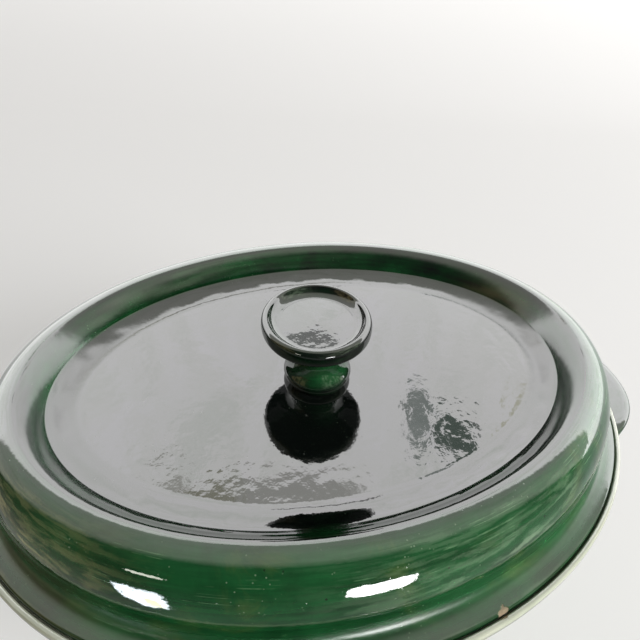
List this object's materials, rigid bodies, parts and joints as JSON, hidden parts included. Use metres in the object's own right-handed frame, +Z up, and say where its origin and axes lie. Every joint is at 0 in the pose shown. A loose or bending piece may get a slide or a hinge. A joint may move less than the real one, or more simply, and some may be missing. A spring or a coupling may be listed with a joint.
{
  "type": "covered casserole dish",
  "caption": "Oval lidded casserole with a gallery rim, end lugs, a lid with a sunken panel and a spool knob.",
  "frame": {"origin": "centre of the foot ring, on the surface the dish stands on", "axes": "+X along the oval's long axis, +Y across it, +Z up"},
  "size_m": [0.368, 0.238, 0.1612],
  "materials": {
    "dish_glaze": "gloss",
    "lid_glaze": "gloss"
  },
  "bodies": {
    "dish": {"dish": "dish_glaze", "lug_left": "dish_glaze", "lug_right": "dish_glaze"},
    "lid": {"lid": "lid_glaze", "knob": "lid_glaze"}
  },
  "joints": [
    {"name": "lid_lift", "type": "slide", "parent": "dish", "child": "lid", "axis": [0, 0, 1], "range_m": [0, 0.2]}
  ]
}
